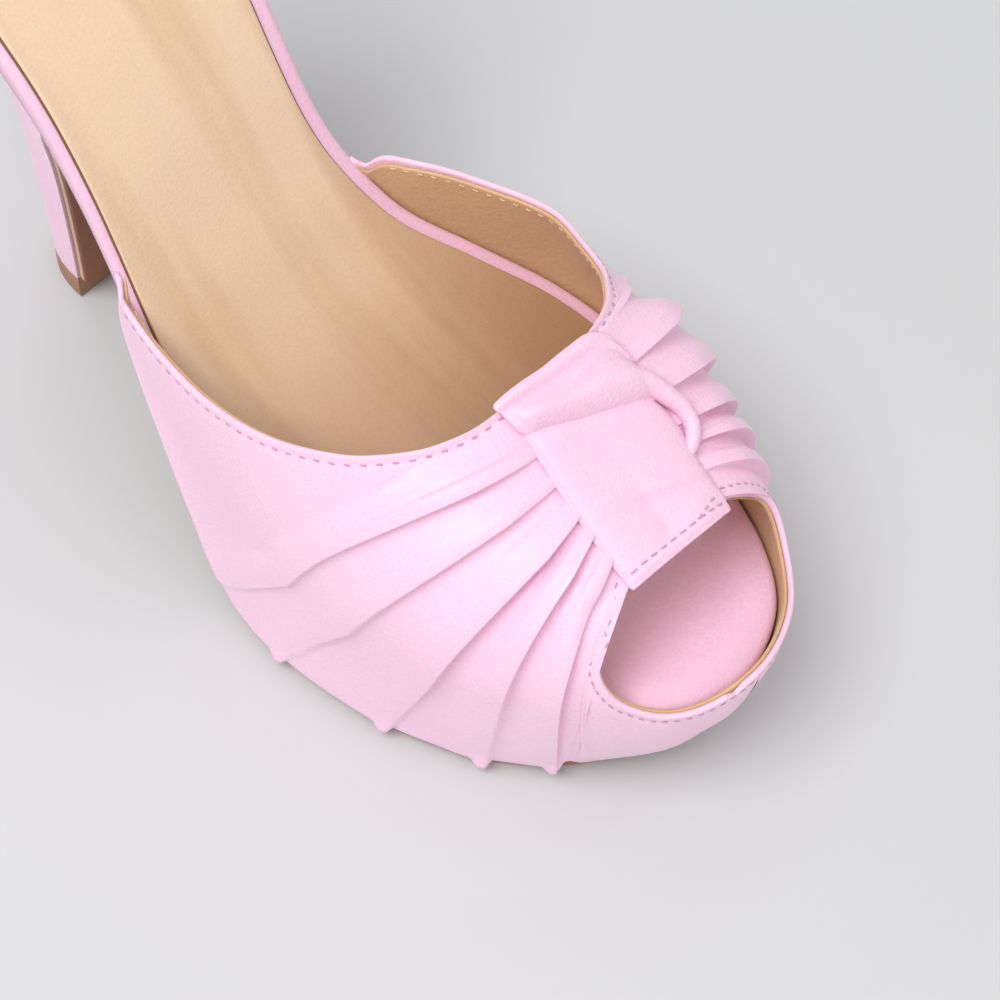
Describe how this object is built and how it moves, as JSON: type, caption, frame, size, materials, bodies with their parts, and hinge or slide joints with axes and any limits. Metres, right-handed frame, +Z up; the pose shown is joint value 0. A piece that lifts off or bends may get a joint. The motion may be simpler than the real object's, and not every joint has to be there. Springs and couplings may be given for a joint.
{
  "type": "peep toe pump",
  "caption": "High-heeled peep toe pump with a concealed platform, pleated open-sided upper, knotted band and covered block heel.",
  "frame": {"origin": "centre of the shoe's box on the floor it stands on", "axes": "+Z up, toe towards -Y and heel towards +Y, the wearer's left (the inner side of this right shoe) towards +X"},
  "size_m": [0.0926, 0.21, 0.1725],
  "materials": {
    "upper_leather": "smooth pale pink nappa, fine grain, soft sheen",
    "cover_leather": "the same leather stretched over insole rim and heel",
    "sock_leather": "smooth tan lining leather",
    "outsole_leather": "brown sole leather, satin",
    "platform_core": "light filler block, hidden",
    "lift_rubber": "matt brown top lift"
  },
  "bodies": {
    "root": {"outsole": "outsole_leather", "platform": "platform_core", "insole": "cover_leather", "sock": "sock_leather", "upper": "upper_leather", "knot_band": "upper_leather", "knot_fold": "upper_leather", "counter": "upper_leather", "heel_block": "cover_leather", "top_lift": "lift_rubber"}
  },
  "joints": []
}
